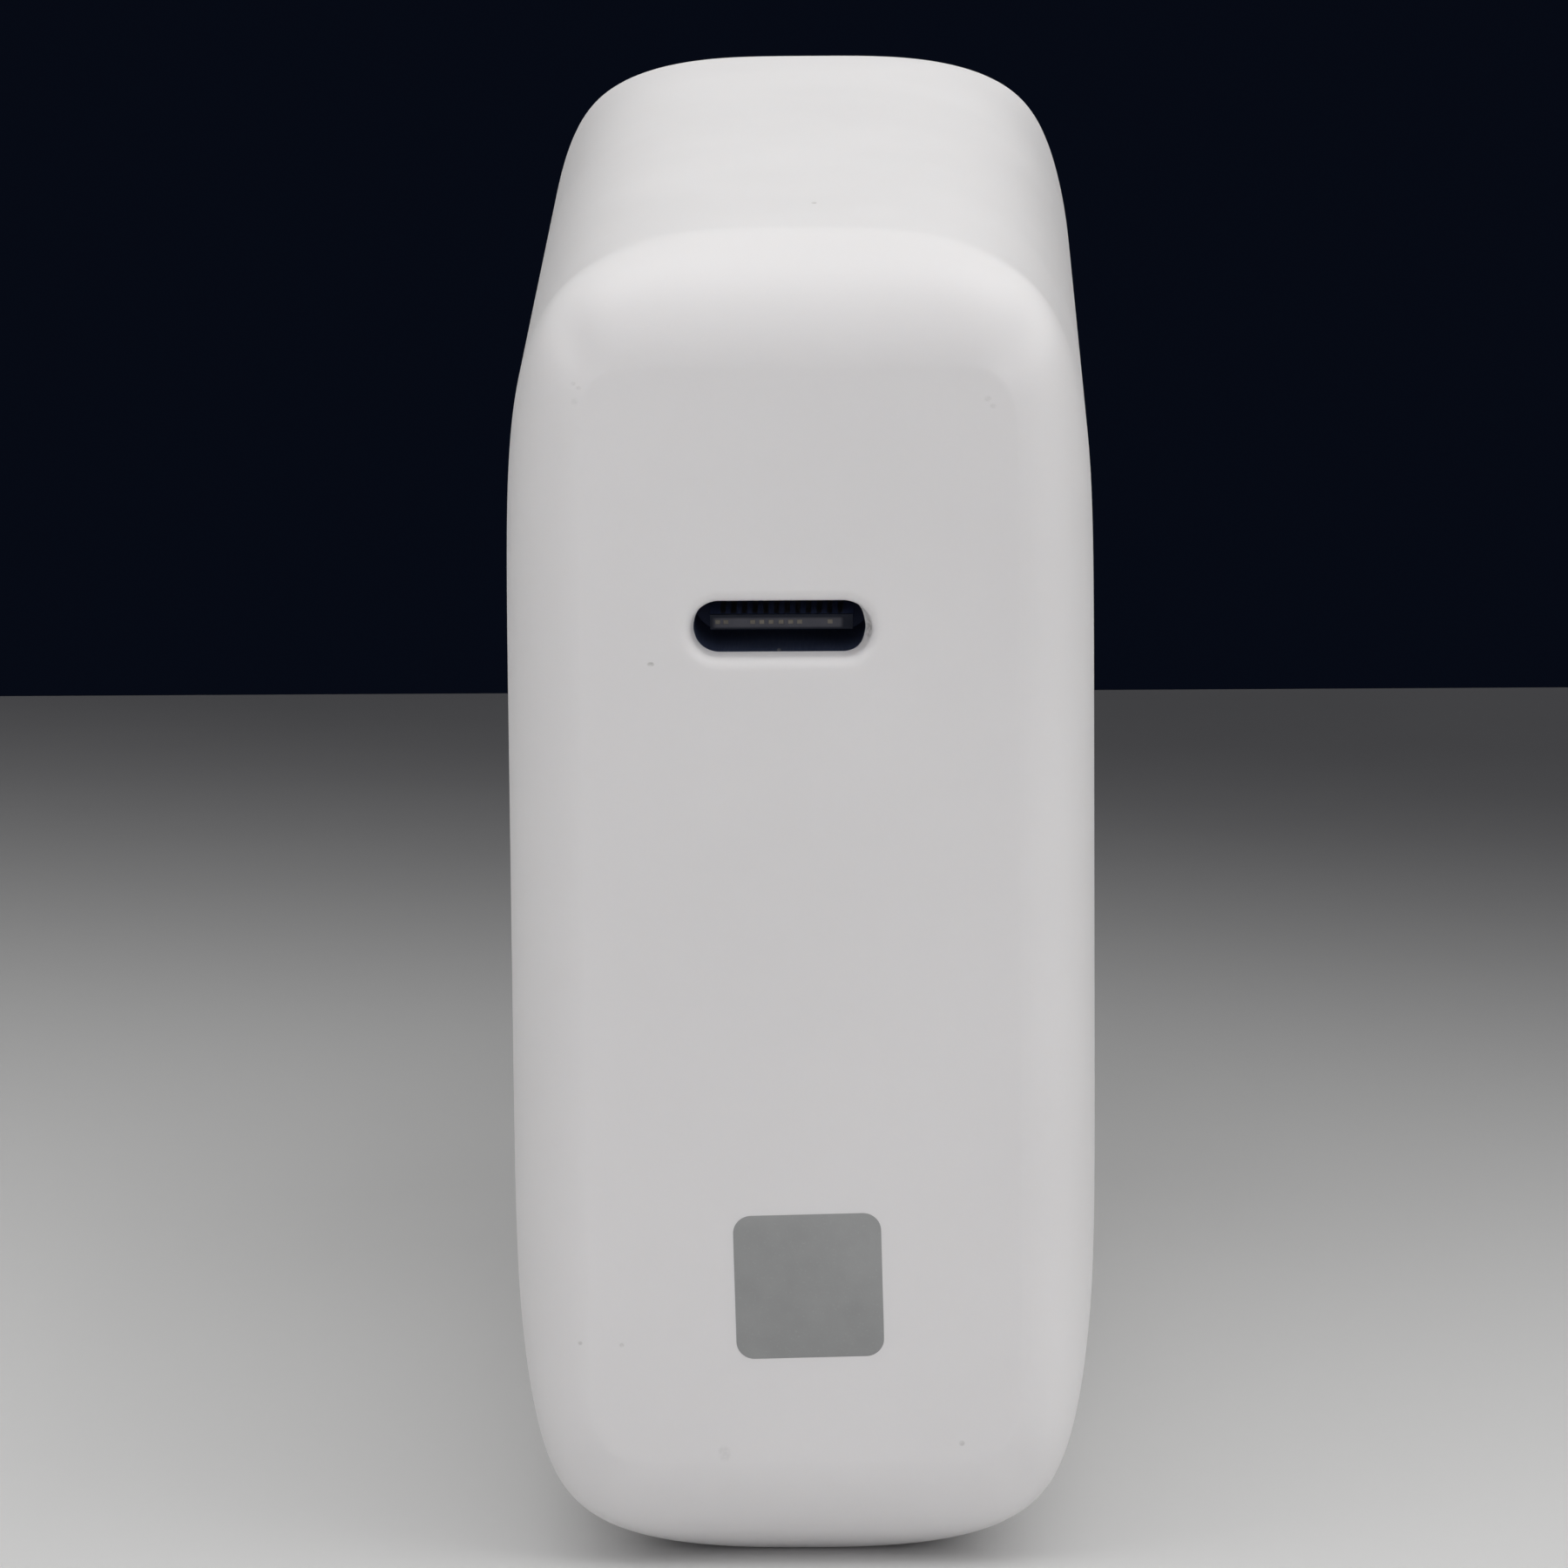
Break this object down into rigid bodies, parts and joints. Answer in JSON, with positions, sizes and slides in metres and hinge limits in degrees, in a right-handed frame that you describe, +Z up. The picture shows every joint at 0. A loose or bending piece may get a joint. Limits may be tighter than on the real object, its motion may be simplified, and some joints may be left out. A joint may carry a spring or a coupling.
{
  "type": "usb-c wall charger",
  "caption": "White slab-shaped mains charger with rounded edges, a USB-C socket in its narrow front face and a fixed two-pin plug behind.",
  "frame": {"origin": "middle of the flat strip that the charger stands on, on its narrow side", "axes": "+X to the right seen from the socket side, +Y from the socket face towards the plug pins, +Z up"},
  "size_m": [0.0276, 0.102, 0.064],
  "materials": {
    "shell_white": "satin white moulded polycarbonate",
    "pin_metal": "nickel-plated brass",
    "sleeve_black": "black insulating sleeve",
    "contact_brass": "stamped spring brass",
    "port_steel": "drawn stainless steel",
    "tongue_black": "moulded liquid-crystal polymer",
    "contact_gold": "gold-plated contacts",
    "board_green": "glass-fibre board with solder mask",
    "header_black": "moulded header",
    "tin": "tinned pins",
    "fuse_ceramic": "ceramic fuse body",
    "ferrite": "sintered ferrite",
    "choke_green": "coated ferrite ring",
    "copper_wire": "enamelled copper wire",
    "film_yellow": "film capacitor case",
    "chip_black": "moulded epoxy",
    "can_sleeve": "dark sleeve on an aluminium can",
    "can_bare": "bare aluminium can",
    "disc_blue": "dipped ceramic disc",
    "plate_alu": "sheet aluminium",
    "screw_steel": "zinc-plated screw",
    "bobbin_black": "moulded phenolic",
    "tape_yellow": "polyester tape",
    "pad_grey": "silicone gap pad",
    "film_sheet": "polyester film",
    "chip_ceramic": "fired ceramic with tinned ends"
  },
  "bodies": {
    "root": {"housing_shell": "shell_white", "plug_cover": "shell_white", "pin_upper": "pin_metal", "pin_lower": "pin_metal", "sleeve_upper": "sleeve_black", "sleeve_lower": "sleeve_black", "contact_upper": "contact_brass", "contact_lower": "contact_brass", "usb_shell": "port_steel", "usb_tongue": "tongue_black", "usb_contacts": "contact_gold", "usb_mid_plate": "port_steel", "main_board": "board_green", "port_board": "board_green", "link_header": "header_black", "link_pins": "tin", "fuse": "fuse_ceramic", "choke_core": "choke_green", "choke_winding": "copper_wire", "x_capacitor": "film_yellow", "bridge_rectifier": "chip_black", "bulk_capacitors": "can_sleeve", "filter_inductor": "ferrite", "switch_transistor": "chip_black", "heat_plate": "plate_alu", "plate_screw": "screw_steel", "transformer_core_lower": "ferrite", "transformer_core_upper": "ferrite", "bobbin": "bobbin_black", "winding": "copper_wire", "winding_tape": "tape_yellow", "y_capacitor": "disc_blue", "optocoupler": "chip_black", "controller_chip": "chip_black", "rectifier_chip": "chip_black", "power_delivery_chip": "chip_black", "output_capacitors": "can_bare", "surge_disc": "disc_blue", "thermal_pad": "pad_grey", "insulation_sheet": "film_sheet", "chip_capacitors": "chip_ceramic"}
  },
  "joints": []
}
